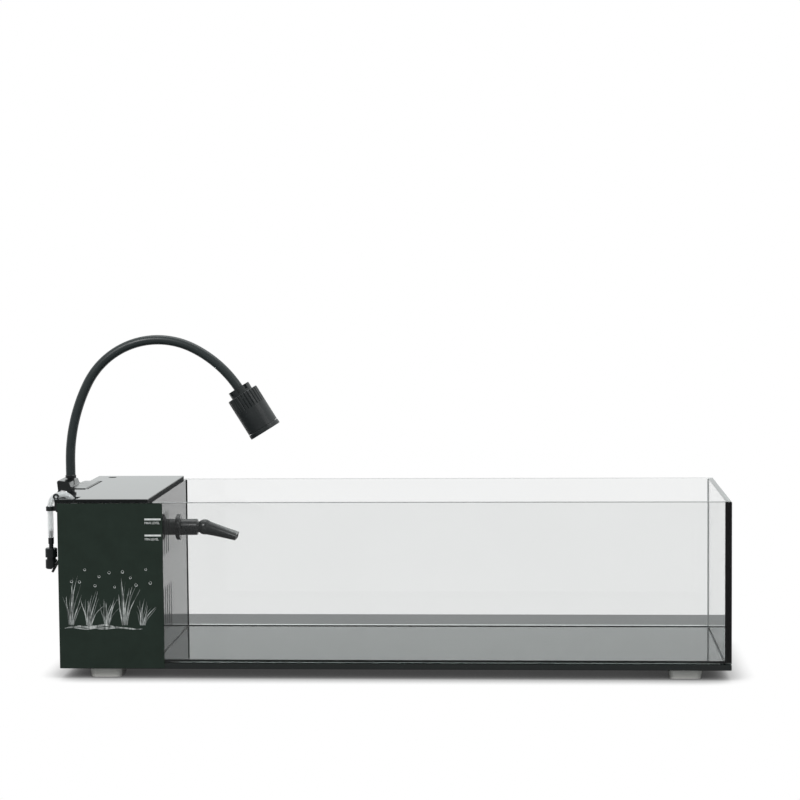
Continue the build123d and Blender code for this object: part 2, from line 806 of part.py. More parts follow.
def arc_step(start, radius, from_turn, to_turn):
    """The end of an arc in the neck's plane, for a neck that leans over by the given turns."""
    a = radians(from_turn)
    b = radians(to_turn)
    return start + Vector(radius * (cos(a) - cos(b)), 0, radius * (sin(b) - sin(a)))


def leaning(turn):
    """The neck's direction where it leans over by the given turn from upright."""
    return Vector(sin(radians(turn)), 0, cos(radians(turn)))


def arc_points(start, radius, from_turn, to_turn):
    """The start, middle and end of one of the neck's arcs."""
    middle = arc_step(start, radius, from_turn, (from_turn + to_turn) / 2)
    end = arc_step(start, radius, from_turn, to_turn)
    return start, middle, end


neck_start = Vector(post_x, lamp_y, socket_high)
neck_rise = Vector(post_x, lamp_y, neck_straight_top)
neck_shoulder = arc_step(neck_rise, first_radius, 0, first_turn)
neck_crown = arc_step(neck_shoulder, crown_radius, first_turn, 90)
neck_haunch = arc_step(neck_crown, crown_radius, 90, second_turn)
neck_tip = arc_step(neck_haunch, last_radius, second_turn, head_lean)
upward = (Align.CENTER, Align.CENTER, Align.MIN)
crown = Plane(origin=neck_crown, x_dir=(0, 1, 0), z_dir=leaning(90))
head_way = leaning(head_lean)
head = Plane(origin=neck_tip, x_dir=(0, 1, 0), z_dir=head_way)
print("neck crown", neck_crown, "neck tip", neck_tip)

with BuildPart() as gooseneck_lower:
    with BuildLine():
        Line(neck_start, neck_rise)
        ThreePointArc(*arc_points(neck_rise, first_radius, 0, first_turn))
        ThreePointArc(*arc_points(neck_shoulder, crown_radius, first_turn, 90))
    with BuildSketch(Plane.XY.offset(socket_high)):
        with Locations((post_x, lamp_y)):
            Circle(neck_radius)
    sweep()
    with Locations(crown.location):
        Sphere(dome_radius, arc_size1=0, align=upward)
gooseneck_lower.part.label = "gooseneck_lower"
export_step(gooseneck_lower.part, "parts/gooseneck_lower.step")

with BuildPart() as gooseneck_upper:
    with BuildLine():
        ThreePointArc(*arc_points(neck_crown, crown_radius, 90, second_turn))
        ThreePointArc(*arc_points(neck_haunch, last_radius, second_turn, head_lean))
    with BuildSketch(crown):
        Circle(neck_radius)
    sweep()
    with Locations(head.location):
        Sphere(dome_radius, arc_size1=0, align=upward)
    with Locations(crown.location):
        Cylinder(neck_radius + 1, 2 * neck_gap, mode=Mode.SUBTRACT)
        Sphere(cup_radius, arc_size1=0, align=upward, mode=Mode.SUBTRACT)
gooseneck_upper.part.label = "gooseneck_upper"
export_step(gooseneck_upper.part, "parts/gooseneck_upper.step")

# Lamp head along its own axis, measured from the ball at the neck's tip towards the light.
collar_top = -3.5
collar_bottom = 3.2
shade_bottom = 40.0
face = 44.7
shade_radius = 15.4
collar_radius = 10.8
castle_slots = 8
with BuildPart() as lamp_collar:
    with BuildSketch(head.offset(collar_top)):
        Circle(collar_radius)
    extrude(amount=collar_bottom - collar_top + 2.5)
    with BuildSketch(head.offset(collar_top)):
        with PolarLocations(collar_radius, castle_slots):
            Rectangle(4.4, 2.6)
    extrude(amount=4.6, mode=Mode.SUBTRACT)
    with BuildSketch(head.offset(collar_top)):
        Circle(7.6)
    with BuildSketch(head.offset(0.8)):
        Circle(4.76)
    loft(mode=Mode.SUBTRACT)
    with Locations(head.location):
        Sphere(cup_radius, arc_size1=0, align=upward, mode=Mode.SUBTRACT)
lamp_collar.part.label = "lamp_collar"
export_step(lamp_collar.part, "parts/lamp_collar.step")

# Shade: a cup with a fluted upper part, open below.
flutes = 28
flute_length = 15.0
roof = 5.0
with BuildPart() as lamp_shade:
    with BuildSketch(head.offset(collar_bottom)):
        Circle(shade_radius)
    extrude(amount=shade_bottom - collar_bottom)
    chamfer(lamp_shade.faces().sort_by(Axis(neck_tip, head_way))[0].edges(), 0.6)
    with BuildSketch(head.offset(collar_bottom)):
        with PolarLocations(shade_radius + 0.2, flutes):
            RegularPolygon(0.95, 4, rotation=0)
    extrude(amount=flute_length, mode=Mode.SUBTRACT)
    with BuildSketch(head.offset(collar_bottom)):
        Circle(collar_radius + 0.05)
    extrude(amount=2.5, mode=Mode.SUBTRACT)
    with BuildSketch(head.offset(collar_bottom + roof)):
        Circle(shade_radius - 2.2)
    extrude(amount=shade_bottom - collar_bottom - roof, mode=Mode.SUBTRACT)
lamp_shade.part.label = "lamp_shade"
export_step(lamp_shade.part, "parts/lamp_shade.step")

with BuildPart() as lamp_bezel:
    with BuildSketch(head.offset(shade_bottom + 0.3)):
        Circle(shade_radius + 0.3)
    extrude(amount=face - shade_bottom - 0.3)
    chamfer(lamp_bezel.edges(), 0.5)
    with BuildSketch(head.offset(shade_bottom + 0.3)):
        Circle(shade_radius - 3.4)
    extrude(amount=face, mode=Mode.SUBTRACT)
    with BuildSketch(head.offset(shade_bottom + 0.3)):
        Circle(shade_radius - 2.3)
    extrude(amount=2.4, mode=Mode.SUBTRACT)
    with BuildSketch(head.offset(shade_bottom + 0.3)):
        Circle(shade_radius - 2.25)
        Circle(shade_radius - 3.4, mode=Mode.SUBTRACT)
    extrude(amount=-3.0)
lamp_bezel.part.label = "lamp_bezel"
export_step(lamp_bezel.part, "parts/lamp_bezel.step")

with BuildPart() as lamp_lens:
    with BuildSketch(head.offset(shade_bottom + 0.6)):
        Circle(shade_radius - 2.4)
    extrude(amount=2.0)
lamp_lens.part.label = "lamp_lens"
export_step(lamp_lens.part, "parts/lamp_lens.step")

board_place = 24.0
with BuildPart() as led_board:
    with BuildSketch(head.offset(board_place)):
        Circle(shade_radius - 2.3)
    extrude(amount=1.6)
    with BuildSketch(head.offset(board_place + 1.6)):
        Rectangle(3.4, 3.4)
        with PolarLocations(7, 6):
            Rectangle(3.0, 3.0)
    extrude(amount=0.9)
led_board.part.label = "led_board"
export_step(led_board.part, "parts/led_board.step")

with BuildPart() as lamp_reflector:
    with BuildSketch(head.offset(board_place + 2.6)):
        Circle(10.6)
    with BuildSketch(head.offset(36.8)):
        Circle(13.0)
    loft()
    with BuildSketch(head.offset(board_place + 2.6)):
        Circle(9.6)
    with BuildSketch(head.offset(36.8)):
        Circle(12.0)
    loft(mode=Mode.SUBTRACT)
lamp_reflector.part.label = "lamp_reflector"
export_step(lamp_reflector.part, "parts/lamp_reflector.step")
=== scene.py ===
import math

import bpy
from mathutils import Matrix, Vector


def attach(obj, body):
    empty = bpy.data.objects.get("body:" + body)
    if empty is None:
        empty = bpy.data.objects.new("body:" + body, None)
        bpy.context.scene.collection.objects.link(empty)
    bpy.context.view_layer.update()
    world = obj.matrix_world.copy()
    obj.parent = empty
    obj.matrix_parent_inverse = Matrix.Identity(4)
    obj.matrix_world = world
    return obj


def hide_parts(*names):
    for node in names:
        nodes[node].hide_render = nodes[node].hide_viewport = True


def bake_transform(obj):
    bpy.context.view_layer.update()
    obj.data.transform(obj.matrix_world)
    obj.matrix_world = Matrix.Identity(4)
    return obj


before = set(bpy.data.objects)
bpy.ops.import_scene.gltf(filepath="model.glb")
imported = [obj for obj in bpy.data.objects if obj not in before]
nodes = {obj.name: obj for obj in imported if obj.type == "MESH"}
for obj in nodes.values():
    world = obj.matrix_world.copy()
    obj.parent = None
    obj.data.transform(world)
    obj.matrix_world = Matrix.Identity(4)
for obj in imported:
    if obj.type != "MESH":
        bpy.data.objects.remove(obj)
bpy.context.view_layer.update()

# The part's own sizes, in metres, as its source gives them.
LEFT = -0.288
RIGHT = 0.312
FRONT = -0.1
BACK = 0.1
BASE = 0.009
RIM = 0.159
LAMP_Y = 0.017
POST_X = -0.3005
GLASS = 0.005
SEAM = 0.0005
BOX_WIDTH = 0.0855
FILM_LENGTH = 0.095

# How far under the rim the films and the upright seams end.
RIM_GAP = 0.0006

# What follows from them: the room inside the panes, the partition, the top of the bottom pane and the
# height at which the films and the seams end.
INNER = (LEFT + GLASS, RIGHT - GLASS)
INNER_FRONT = FRONT + GLASS
INNER_BACK = BACK - GLASS
PARTITION = (LEFT + BOX_WIDTH - GLASS, LEFT + BOX_WIDTH)
TANK_FLOOR = BASE + GLASS
UNDER_RIM = RIM - RIM_GAP

# The camera, fitted to the photograph.
PHOTO_SIZE = 800
SENSOR_WIDTH = 36.0
FOCAL_PIXELS = 2131.4
CAMERA_PLACE = Vector((0.1366, -1.9744, 0.3821))
CAMERA_PITCH = math.radians(4.025)
CAMERA_YAW = math.radians(3.541)
CAMERA_ROLL = math.radians(-0.496)


def make_camera():
    """The camera at the photograph's place, looking a little down and to the left."""
    data = bpy.data.cameras.new("camera")
    data.sensor_width = SENSOR_WIDTH
    data.lens = FOCAL_PIXELS / PHOTO_SIZE * SENSOR_WIDTH
    data.clip_start = 0.05
    data.clip_end = 50
    camera = bpy.data.objects.new("camera", data)
    bpy.context.scene.collection.objects.link(camera)
    yaw, pitch, roll = CAMERA_YAW, CAMERA_PITCH, CAMERA_ROLL
    level_right = Vector((math.cos(yaw), math.sin(yaw), 0))
    forward = Vector((-math.sin(yaw) * math.cos(pitch), math.cos(yaw) * math.cos(pitch), -math.sin(pitch)))
    level_up = level_right.cross(forward)
    right_way = level_right * math.cos(roll) + level_up * math.sin(roll)
    up_way = level_up * math.cos(roll) - level_right * math.sin(roll)
    turn = Matrix((right_way, up_way, -forward)).transposed().to_4x4()
    camera.matrix_world = Matrix.Translation(CAMERA_PLACE) @ turn
    bpy.context.scene.camera = camera


make_camera()


class Recipe:
    """A node material under construction, with short words for the usual nodes."""

    def __init__(self, name):
        self.material = bpy.data.materials.new(name)
        self.material.use_nodes = True
        self.tree = self.material.node_tree
        self.shader = self.tree.nodes["Principled BSDF"]
        self.output = self.tree.nodes["Material Output"]
        self.place = self.tree.nodes.new("ShaderNodeTexCoord").outputs["Object"]

    def add(self, kind, **settings):
        """A new node with its settings."""
        node = self.tree.nodes.new(kind)
        for key, value in settings.items():
            setattr(node, key, value)
        return node

    def link(self, source, target):
        """Join an output socket to an input socket."""
        self.tree.links.new(source, target)

    def feed(self, source, name):
        """Lead a socket into one of the shader's inputs."""
        self.link(source, self.shader.inputs[name])

    def set(self, **values):
        """Plain numbers for the shader's inputs, with underscores for the spaces in their names."""
        for key, value in values.items():
            self.shader.inputs[key.replace("_", " ")].default_value = value

    def noise(self, scale, detail=3.0, roughness=0.55, stretch=None):
        """Soft noise in the piece's own space, stretched along its axes where asked."""
        node = self.add("ShaderNodeTexNoise")
        for name, value in (("Scale", scale), ("Detail", detail), ("Roughness", roughness)):
            node.inputs[name].default_value = value
        place = self.place
        if stretch is not None:
            mapping = self.add("ShaderNodeMapping")
            mapping.inputs["Scale"].default_value = stretch
            self.link(place, mapping.inputs["Vector"])
            place = mapping.outputs["Vector"]
        self.link(place, node.inputs["Vector"])
        return node.outputs["Fac"]

    def ramp(self, source, stops):
        """A colour that runs between two stops, each a position and a colour."""
        node = self.add("ShaderNodeValToRGB")
        for element, (at, colour) in zip(node.color_ramp.elements, stops):
            element.position = at
            element.color = (*colour, 1)
        self.link(source, node.inputs["Fac"])
        return node.outputs["Color"]

    def spread(self, source, low, high, from_low=0.3, from_high=0.7):
        """A number carried over from one range to another."""
        node = self.add("ShaderNodeMapRange")
        ends = (("From Min", from_low), ("From Max", from_high), ("To Min", low), ("To Max", high))
        for name, value in ends:
            node.inputs[name].default_value = value
        self.link(source, node.inputs["Value"])
        return node.outputs["Result"]

    def sums(self, operation, a, b=None):
        """One step of arithmetic on sockets or plain numbers."""
        node = self.add("ShaderNodeMath", operation=operation)
        for slot, value in zip(node.inputs, (a, b)):
            if value is None:
                continue
            if hasattr(value, "node"):
                self.link(value, slot)
            else:
                slot.default_value = value
        return node.outputs[0]

    def mixed(self, factor, low, high):
        """A colour between two others, by a factor socket."""
        node = self.add("ShaderNodeMix", data_type="RGBA")
        self.link(factor, node.inputs[0])
        for slot, value in ((node.inputs[6], low), (node.inputs[7], high)):
            if hasattr(value, "node"):
                self.link(value, slot)
            else:
                slot.default_value = (*value, 1)
        return node.outputs[2]

    def facing(self, axis):
        """How squarely a face looks along an axis, either way."""
        split = self.add("ShaderNodeSeparateXYZ")
        self.link(self.add("ShaderNodeNewGeometry").outputs["True Normal"], split.inputs[0])
        return self.sums("ABSOLUTE", split.outputs[axis])

    def rays(self):
        """Which rays come from the camera, and which by way of glass or gloss."""
        path = self.add("ShaderNodeLightPath")
        seen = self.sums("MAXIMUM", path.outputs["Is Glossy Ray"], path.outputs["Is Transmission Ray"])
        return path.outputs["Is Camera Ray"], seen

    def bump(self, source, strength, distance):
        """Fine relief on the surface, from a height socket."""
        node = self.add("ShaderNodeBump")
        node.inputs["Strength"].default_value = strength
        node.inputs["Distance"].default_value = distance
        self.link(source, node.inputs["Height"])
        self.feed(node.outputs["Normal"], "Normal")


def opaque(name, dark, light, gloss, grain=2600.0, depth=0.00003, specular=0.5, broad=22.0):
    """An opaque finish: a little colour drift, fine grain and patches of more and less gloss."""
    made = Recipe(name)
    made.feed(made.ramp(made.noise(broad, 4), ((0.35, dark), (0.68, light))), "Base Color")
    made.feed(made.spread(made.noise(broad * 4, 3), *gloss), "Roughness")
    if depth > 0:
        made.bump(made.noise(grain, 2), 0.35, depth)
    made.set(Specular_IOR_Level=specular)
    return made.material


# The green that a pane shows through the faces around its edge, and how squarely a face must look along
# the sheet's thin way to be one of its broad faces.
EDGE_GREEN = (0.36, 0.50, 0.46)
BROAD_FACE = 0.5


def glassy(name, tint, rough=0.0, thin=None):
    """Clear glass with a trace of smear in its tint. A pane, given its thin way, is greener at its edge."""
    made = Recipe(name)
    made.set(Transmission_Weight=1.0, IOR=1.5)
    colour = made.ramp(made.noise(9.0, 3), ((0.3, tuple(c * 0.99 for c in tint)), (0.7, tint)))
    if thin is not None:
        around = made.sums("LESS_THAN", made.facing(thin), BROAD_FACE)
        colour = made.mixed(around, colour, EDGE_GREEN)
    made.feed(colour, "Base Color")
    if rough:
        made.feed(made.spread(made.noise(40, 3), rough * 0.7, rough), "Roughness")
    else:
        made.set(Roughness=0.0)
    return made.material


def metal(name, dark, light, gloss, stretch):
    """Bright metal with a fine unevenness, drawn out into lines where its stretch is uneven."""
    made = Recipe(name)
    lines = made.noise(700, 2, stretch=stretch)
    made.feed(made.ramp(lines, ((0.3, dark), (0.7, light))), "Base Color")
    made.feed(made.spread(lines, *gloss), "Roughness")
    made.bump(lines, 0.2, 0.00002)
    made.set(Metallic=1.0)
    return made.material


def lid_material():
    """Gloss black sheet whose cut edges are duller than its faces."""
    made = Recipe("lid_black")
    tones = ((0.35, (0.008, 0.009, 0.0095)), (0.68, (0.011, 0.012, 0.0125)))
    made.feed(made.ramp(made.noise(22, 4), tones), "Base Color")
    flat = made.sums("GREATER_THAN", made.facing("Z"), BROAD_FACE)
    made.feed(made.spread(flat, 0.6, 0.045, 0.0, 1.0), "Roughness")
    made.feed(made.spread(flat, 0.12, 0.5, 0.0, 1.0), "Specular IOR Level")
    return made.material


def hose_material():
    """Soft clear hose: milky, with a faint cloudiness along it."""
    made = Recipe("clear_hose")
    tones = ((0.3, (0.90, 0.92, 0.92)), (0.7, (0.96, 0.97, 0.97)))
    made.feed(made.ramp(made.noise(90, 3), tones), "Base Color")
    made.feed(made.spread(made.noise(300, 2), 0.6, 0.7), "Roughness")
    made.set(Transmission_Weight=0.7, IOR=1.05)
    return made.material


def ink(name, dark, light):
    """Screen-printed ink: brushed between two tones, with an uneven gloss."""
    made = Recipe(name)
    strokes = made.noise(260, 5, 0.7, stretch=(1, 1, 0.35))
    made.feed(made.ramp(strokes, ((0.38, dark), (0.62, light))), "Base Color")
    made.feed(made.spread(made.noise(300, 2), 0.4, 0.55), "Roughness")
    return made.material


# Glass.
PANE_TINT = (0.932, 0.938, 0.936)
glass_along_x = glassy("glass_pane_long", PANE_TINT, thin="Y")
glass_along_y = glassy("glass_pane_short", PANE_TINT, thin="X")
lens_glass = glassy("lens", (0.93, 0.95, 0.95), 0.03)
black_glass = opaque(
    "black_glass", (0.008, 0.0105, 0.010), (0.010, 0.013, 0.0125), (0.02, 0.04), depth=0, specular=0.68
)

# Plastics.
black_plastic = opaque("black_plastic", (0.011, 0.013, 0.0135), (0.017, 0.020, 0.020), (0.36, 0.48))
satin_plastic = opaque(
    "satin_plastic", (0.007, 0.0085, 0.009), (0.010, 0.012, 0.0125), (0.22, 0.30), depth=0.00001
)
lamp_plastic = opaque(
    "lamp_plastic", (0.015, 0.018, 0.019), (0.022, 0.026, 0.027), (0.34, 0.46), depth=0.00002
)
gloss_black = opaque(
    "gloss_black", (0.008, 0.009, 0.0095), (0.011, 0.012, 0.0125), (0.03, 0.06), depth=0
)
clamp_plastic = opaque(
    "clamp_plastic", (0.010, 0.011, 0.0115), (0.014, 0.015, 0.0155), (0.12, 0.2), depth=0
)
film_black = opaque(
    "black_film", (0.016, 0.026, 0.0195), (0.019, 0.031, 0.0235), (0.12, 0.2), depth=0, specular=0.3, broad=60
)
lid_black = lid_material()
clear_hose = hose_material()

# Rubbers and silicones.
sleeve = opaque("neck_sleeve", (0.017, 0.024, 0.0245), (0.023, 0.031, 0.032), (0.34, 0.44), depth=0.00002)
rubber = opaque("black_rubber", (0.013, 0.013, 0.013), (0.02, 0.02, 0.02), (0.6, 0.75), specular=0.35)
# Pale grey silicone for the corner seams: painted light, standing for the light that the glass keeps off
# them.
painted_light_silicone = opaque("painted_light_silicone", (0.46, 0.49, 0.485), (0.52, 0.55, 0.545), (0.3, 0.45), depth=0)
silicone = opaque(
    "black_silicone", (0.012, 0.013, 0.013), (0.02, 0.022, 0.022), (0.32, 0.45), grain=900, depth=0.00006
)
pad_rubber = opaque(
    "pad_rubber", (0.66, 0.65, 0.62), (0.76, 0.75, 0.72), (0.55, 0.7), grain=1800, depth=0.00005
)

# The filter media, the lamp's board and the metals.
ceramic = opaque(
    "ceramic", (0.62, 0.58, 0.50), (0.78, 0.74, 0.67), (0.7, 0.85), grain=1500, depth=0.0002, broad=120
)
sponge = opaque(
    "sponge", (0.012, 0.012, 0.012), (0.03, 0.03, 0.03), (0.9, 1.0), grain=900, depth=0.0006, broad=600
)
board = opaque("board_white", (0.72, 0.72, 0.70), (0.8, 0.8, 0.78), (0.35, 0.45), grain=800)
steel = metal("steel", (0.42, 0.42, 0.42), (0.58, 0.58, 0.58), (0.25, 0.4), (1, 0.1, 1))
reflector = metal("reflector", (0.78, 0.78, 0.78), (0.86, 0.86, 0.86), (0.06, 0.12), (1, 1, 1))

# The inks of the print.
ink_white = ink("ink_white", (0.62, 0.64, 0.63), (0.80, 0.82, 0.81))
ink_grey = ink("ink_grey", (0.10, 0.11, 0.105), (0.66, 0.68, 0.67))
ink_dim = ink("ink_dim", (0.04, 0.045, 0.042), (0.20, 0.22, 0.21))

FINISHES = (
    ("front_pane back_pane baffle", glass_along_x),
    ("left_pane right_pane", glass_along_y),
    ("bottom_pane", black_glass),
    ("partition", gloss_black),
    ("lid", lid_black),
    ("lamp_clamp", clamp_plastic),
    ("front_film back_film side_film", film_black),
    ("bottom_seal corner_seals partition_seals", silicone),
    ("foot_pad_front_left foot_pad_front_right foot_pad_back_left foot_pad_back_right", pad_rubber),
    ("media_basket pump_housing pump_cover flow_dial rotor outlet_pipe bulkhead_nut", black_plastic),
    ("hose_clip clamp_knob", black_plastic),
    ("lamp_collar lamp_shade lamp_bezel", lamp_plastic),
    ("socket_collar nozzle neck_socket tap_collar tap_body tap_cock tap_lever", satin_plastic),
    ("bulkhead_washer suction_cups clamp_facing return_hose", rubber),
    ("gooseneck_lower gooseneck_upper", sleeve),
    ("drain_hose", clear_hose),
    ("filter_sponge", sponge),
    ("ceramic_rings", ceramic),
    ("rotor_shaft clamp_screw", steel),
    ("lamp_lens", lens_glass),
    ("lamp_reflector", reflector),
    ("led_board", board),
)


def finish_solids():
    """Every solid of the part gets its finish."""
    for names, material in FINISHES:
        for name in names.split():
            nodes[name].data.materials.clear()
            nodes[name].data.materials.append(material)


finish_solids()


def mesh_of(name, points, faces):
    """A mesh from its points and faces."""
    mesh = bpy.data.meshes.new(name)
    mesh.from_pydata(points, [], faces)
    return mesh


def add_piece(name, mesh, material):
    """A new piece of the object with its finish."""
    piece = bpy.data.objects.new(name, mesh)
    bpy.context.scene.collection.objects.link(piece)
    mesh.materials.append(material)
    return piece


# The lamp's neck: the centreline of the gooseneck, leaning over from upright by a growing turn. Each arc
# has its radius and the lean at its two ends, in degrees.
NECK_BOTTOM = BASE + 0.163
NECK_STRAIGHT_TOP = BASE + 0.1754
NECK_RADIUS = 0.0045
NECK_SIDES = 40
NECK_ARCS = ((0.163, 0, 27.0), (0.0755, 27.0, 90.0), (0.0755, 90.0, 116.5), (0.1098, 116.5, 148.4))
NECK_STEP = 0.0022
STRAIGHT_STEPS = 6

# How far from the crown and from the tip the sleeve's crown and tip lengths reach, and the lean at which the
# neck runs level.
CROWN_REACH = 0.042
TIP_REACH = 0.026
LEVEL = math.pi / 2


def arc_offset(radius, start_lean, lean):
    """The way along one of the neck's arcs, from one lean to another."""
    across = radius * (math.cos(start_lean) - math.cos(lean))
    up = radius * (math.sin(lean) - math.sin(start_lean))
    return Vector((across, 0, up))


def neck_line():
    """Points down the neck's middle with the neck's lean at each, and the places of its crown and tip."""
    line = []
    for step in range(STRAIGHT_STEPS):
        z = NECK_BOTTOM + (NECK_STRAIGHT_TOP - NECK_BOTTOM) * step / STRAIGHT_STEPS
        line.append((Vector((POST_X, LAMP_Y, z)), 0.0))
    start = Vector((POST_X, LAMP_Y, NECK_STRAIGHT_TOP))
    ends = []
    for radius, from_turn, to_turn in NECK_ARCS:
        steps = round(math.radians(to_turn - from_turn) * radius / NECK_STEP)
        start_lean = math.radians(from_turn)
        end_lean = math.radians(to_turn)
        for step in range(steps):
            lean = start_lean + (end_lean - start_lean) * step / steps
            line.append((start + arc_offset(radius, start_lean, lean), lean))
        start = start + arc_offset(radius, start_lean, end_lean)
        ends.append(start)
    line.append((start, end_lean))
    return line, ends[1], ends[3]


def neck_tube(name, line):
    """A round tube along a stretch of the neck, with closed ends."""
    points = []
    faces = []
    for place, lean in line:
        across = Vector((math.cos(lean), 0, -math.sin(lean)))
        for side in range(NECK_SIDES):
            angle = 2 * math.pi * side / NECK_SIDES
            outward = across * math.cos(angle) + Vector((0, 1, 0)) * math.sin(angle)
            points.append(place + NECK_RADIUS * outward)
    for ring in range(len(line) - 1):
        for side in range(NECK_SIDES):
            a = ring * NECK_SIDES + side
            b = ring * NECK_SIDES + (side + 1) % NECK_SIDES
            faces.append((a, b, b + NECK_SIDES, a + NECK_SIDES))
    last = (len(line) - 1) * NECK_SIDES
    for ring_start, order in ((0, -1), (last, 1)):
        cap_start = len(points)
        points.extend(points[ring_start : ring_start + NECK_SIDES])
        faces.append(tuple(range(cap_start, cap_start + NECK_SIDES))[::order])
    mesh = mesh_of(name, points, faces)
    for face in mesh.polygons:
        face.use_smooth = len(face.vertices) == 4
    return add_piece(name, mesh, sleeve)


def make_neck():
    """The neck's sleeve in four lengths: two ride on the neck's two bodies, and the two at the crown and at
    the tip stay where they are made.
    """
    line, crown, tip = neck_line()
    far = [i for i, (place, lean) in enumerate(line) if (crown - place).length > CROWN_REACH]
    rising = [i for i in far if line[i][1] <= LEVEL]
    falling = [i for i in far if line[i][1] > LEVEL]
    first_end = rising[-1]
    second_end = falling[0]
    third_end = max(i for i in falling if (tip - line[i][0]).length > TIP_REACH)
    neck_low = neck_tube("neck_sleeve_low", line[: first_end + 1])
    neck_crown = neck_tube("neck_sleeve_crown", line[first_end : second_end + 1])
    neck_high = neck_tube("neck_sleeve_high", line[second_end : third_end + 1])
    neck_tip = neck_tube("neck_sleeve_tip", line[third_end:])
    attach(neck_low, "lamp_neck")
    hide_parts("gooseneck_lower")
    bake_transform(neck_crown)
    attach(neck_high, "lamp_neck_end")
    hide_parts("gooseneck_upper")
    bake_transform(neck_tip)


make_neck()

# The corners of a box's six faces, where the corners count up by z, then y, then x.
BOX_FACES = ((0, 1, 3, 2), (4, 6, 7, 5), (0, 4, 5, 1), (2, 3, 7, 6), (0, 2, 6, 4), (1, 5, 7, 3))


def blocks(name, sides, material):
    """A piece of square-edged strips or sheets, each given by its six sides."""
    points = []
    faces = []
    for x_low, x_high, y_low, y_high, z_low, z_high in sides:
        start = len(points)
        points.extend((x, y, z) for x in (x_low, x_high) for y in (y_low, y_high) for z in (z_low, z_high))
        for face in BOX_FACES:
            faces.append(tuple(start + corner for corner in face))
    piece = add_piece(name, mesh_of(name, points, faces), material)
    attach(piece, "tank")
    return piece


# The silicone joints, with the hair-thin beads that show through the glass. The front one stands higher,
# and under it lies a strip of painted highlight, pale for the light on the bottom pane's lower front edge.
BEAD = 0.0007
FRONT_BEAD = 0.003
HIGHLIGHT_STRIP_HEIGHT = 0.0024


def bottom_strips():
    """The seam round the bottom pane and the beads over it, on both sides of the partition."""
    strips = [
        (*INNER, INNER_FRONT, INNER_FRONT + SEAM, BASE + HIGHLIGHT_STRIP_HEIGHT, TANK_FLOOR),
        (*INNER, INNER_BACK - SEAM, INNER_BACK, BASE, TANK_FLOOR),
    ]
    for x_low, x_high in ((INNER[0], INNER[0] + SEAM), (INNER[1] - SEAM, INNER[1])):
        strips.append((x_low, x_high, INNER_FRONT + SEAM, INNER_BACK - SEAM, BASE, TANK_FLOOR))
    bead_top = TANK_FLOOR + BEAD
    for x_low, x_high in ((INNER[0], PARTITION[0]), (PARTITION[1], INNER[1])):
        strips.append((x_low, x_high, INNER_FRONT, INNER_FRONT + BEAD, TANK_FLOOR, TANK_FLOOR + FRONT_BEAD))
        strips.append((x_low, x_high, INNER_BACK - BEAD, INNER_BACK, TANK_FLOOR, bead_top))
        for x_start, x_end in ((x_low, x_low + BEAD), (x_high - BEAD, x_high)):
            strips.append((x_start, x_end, INNER_FRONT + BEAD, INNER_BACK - BEAD, TANK_FLOOR, bead_top))
    return strips


def upright_strips(x_low, x_high, inward):
    """The two upright joints of a pane across the tank, thin layers with a bead on every inner side."""
    strips = []
    for y_wall, y_way in ((INNER_FRONT, 1), (INNER_BACK, -1)):
        y_low, y_high = sorted((y_wall, y_wall + y_way * SEAM))
        strips.append((x_low, x_high, y_low, y_high, TANK_FLOOR + BEAD, UNDER_RIM))
        y_low, y_high = sorted((y_wall, y_wall + y_way * (SEAM + BEAD)))
        for way in inward:
            edge = x_high if way > 0 else x_low
            x_start, x_end = sorted((edge, edge + way * BEAD))
            strips.append((x_start, x_end, y_low, y_high, TANK_FLOOR + BEAD, UNDER_RIM))
    return strips


def make_seals():
    """All the silicone: under and round the bottom, up the corners and beside the partition. The corner seams
    are painted pale for light, and a painted highlight strip lies low at the front.
    """
    bottom_joint = blocks("bottom_seal_thin", bottom_strips(), silicone)
    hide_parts("bottom_seal")
    corners = upright_strips(LEFT, INNER[0], (1,)) + upright_strips(INNER[1], RIGHT, (-1,))
    # Under the front seam, a strip of painted highlight for the lit lower front edge of the bottom pane.
    painted_highlight_strip = (*INNER, INNER_FRONT, INNER_FRONT + SEAM, BASE, BASE + HIGHLIGHT_STRIP_HEIGHT)
    corner_joint = blocks("corner_seals_thin", corners + [painted_highlight_strip], painted_light_silicone)
    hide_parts("corner_seals")
    beside_partition = upright_strips(*PARTITION, (-1, 1))
    partition_joint = blocks("partition_seals_thin", beside_partition, silicone)
    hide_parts("partition_seals")


make_seals()

# The clamp's saddle: how much thinner it is over the rim, from which height up and how far out.
SADDLE_DROP = 0.0034
SADDLE_HEIGHT = BASE + 0.1555
SADDLE_EDGE = LEFT - 0.0093


def make_clamp():
    """The lamp's clamp, its saddle a little thinner over the rim."""
    clamp_mesh = nodes["lamp_clamp"].data.copy()
    clamp_mesh.materials.clear()
    for vertex in clamp_mesh.vertices:
        if vertex.co.z > SADDLE_HEIGHT and vertex.co.x > SADDLE_EDGE:
            vertex.co.z -= SADDLE_DROP
    clamp_piece = add_piece("lamp_clamp_saddle", clamp_mesh, clamp_plastic)
    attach(clamp_piece, "tank")
    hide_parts("lamp_clamp")


make_clamp()

# The films on the front and on the back of the filter box. The one in front carries the print, so it is
# a hair thinner than the film it stands for, and the print lies on it.
FILM_LOW = BASE + 0.0005
FILM_FACE = FRONT - 0.00012
BACK_FILM = 0.0002
INK_BACK = FRONT - 0.00010
INK_FACE = FRONT - 0.00018
INK_LAYERS = 0.00003


def make_films():
    """The two films, each a flat sheet."""
    front_sides = (LEFT, LEFT + FILM_LENGTH, FILM_FACE, FRONT, FILM_LOW, UNDER_RIM)
    front_sheet = blocks("front_film_sheet", [front_sides], film_black)
    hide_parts("front_film")
    back_sides = (LEFT, PARTITION[0], BACK, BACK + BACK_FILM, FILM_LOW, UNDER_RIM)
    back_sheet = blocks("back_film_sheet", [back_sides], film_black)
    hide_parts("back_film")


make_films()


